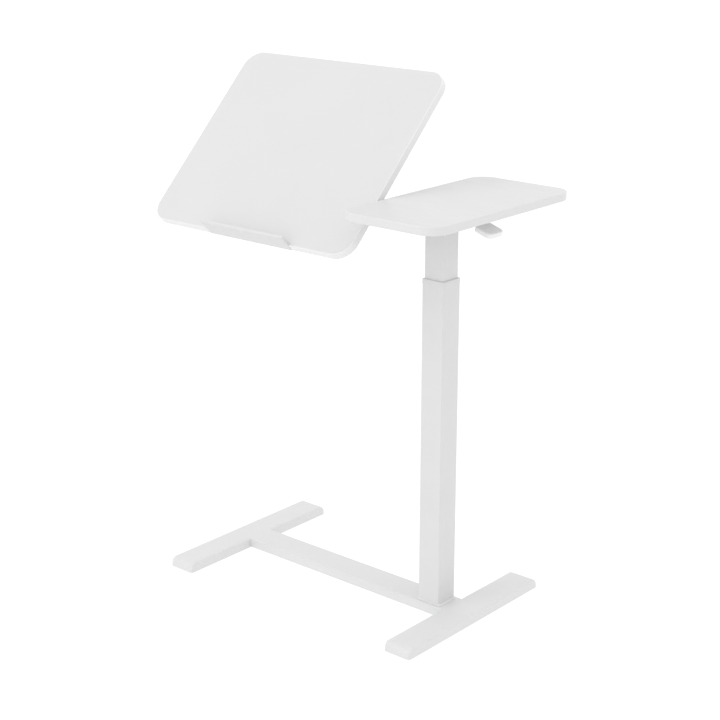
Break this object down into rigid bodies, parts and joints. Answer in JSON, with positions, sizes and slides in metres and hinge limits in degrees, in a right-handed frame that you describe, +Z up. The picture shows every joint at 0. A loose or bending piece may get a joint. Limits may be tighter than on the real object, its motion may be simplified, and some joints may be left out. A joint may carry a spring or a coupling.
{
  "type": "overbed table",
  "caption": "Height-adjustable overbed table on an I-shaped base with an off-centre square column, a small fixed top and a tilting reading panel with a book ledge.",
  "frame": {"origin": "on the floor, under the middle of the bounding box (the middle of the two tops)", "axes": "+Z up; +X along the crossbar towards the column and the small top; +Y along the feet, away from the user; the tilting panel's low edge faces -Y"},
  "size_m": [0.6994, 0.4, 0.9859],
  "materials": {
    "coat": "white powder coat, satin",
    "board": "white melamine laminate over chipboard, white edging",
    "plastic": "white moulded nylon, fine texture",
    "grey_plastic": "grey moulded nylon",
    "steel": "bright zinc-plated steel",
    "rubber": "black moulded rubber"
  },
  "bodies": {
    "base": {"foot_left": "coat", "foot_right": "coat", "crossbar": "coat", "glide_1": "grey_plastic", "glide_2": "grey_plastic", "glide_3": "grey_plastic", "glide_4": "grey_plastic", "foot_screw_1": "steel", "foot_screw_2": "steel", "foot_screw_3": "steel", "foot_screw_4": "steel", "base_plate": "coat", "column_plug": "steel", "column_bolt_1": "steel", "column_bolt_2": "steel", "column_bolt_3": "steel", "column_bolt_4": "steel", "outer_tube": "coat", "collar": "plastic", "gas_cylinder": "steel", "gas_gland": "grey_plastic"},
    "lift": {"inner_tube": "coat", "lower_bush": "plastic", "head_plate": "coat", "support_arm": "coat", "rear_rail": "coat", "arm_cap_1": "grey_plastic", "arm_cap_2": "grey_plastic", "rail_cap_1": "grey_plastic", "rail_cap_2": "grey_plastic", "small_top_plate": "coat", "small_top": "board", "small_top_screw_1": "steel", "small_top_screw_2": "steel", "small_top_screw_3": "steel", "small_top_screw_4": "steel", "bumper_1": "rubber", "bumper_2": "rubber", "gas_rod": "steel", "rod_nut": "steel", "hinge_bracket_1": "coat", "hinge_bracket_2": "coat", "lever_bracket": "steel", "lever_pin": "steel"},
    "panel": {"tilt_panel": "board", "hinge_leaf_1": "steel", "hinge_leaf_2": "steel", "hinge_pin_1": "steel", "hinge_pin_2": "steel", "leaf_screw_1": "steel", "leaf_screw_2": "steel", "leaf_screw_3": "steel", "leaf_screw_4": "steel", "book_ledge": "plastic", "ledge_screw_1": "steel", "ledge_screw_2": "steel"},
    "lever": {"lever_arm": "steel", "lever_paddle": "plastic"},
    "release": {"release_pin": "steel"}
  },
  "joints": [
    {"name": "height_slide", "type": "slide", "parent": "base", "child": "lift", "axis": [0, 0, 1], "range_m": [-0.1, 0.28]},
    {"name": "panel_tilt", "type": "hinge", "parent": "lift", "child": "panel", "pos_m": [0, -0.0852, 0.7737], "axis": [1, 0, 0], "range_deg": [-45, 0]},
    {"name": "lever_rock", "type": "hinge", "parent": "lift", "child": "lever", "pos_m": [0.23, 0, 0.7662], "axis": [0, -1, 0], "range_deg": [0, 7], "stiffness_Nm_per_rad": 8, "springref_deg": -5.73},
    {"name": "release_travel", "type": "slide", "parent": "lift", "child": "release", "axis": [0, 0, -1], "range_m": [0, 0.0028]}
  ],
  "couplings": [
    {"joint": "release_travel", "follows": "lever_rock", "m_per_rad": 0.0216}
  ]
}
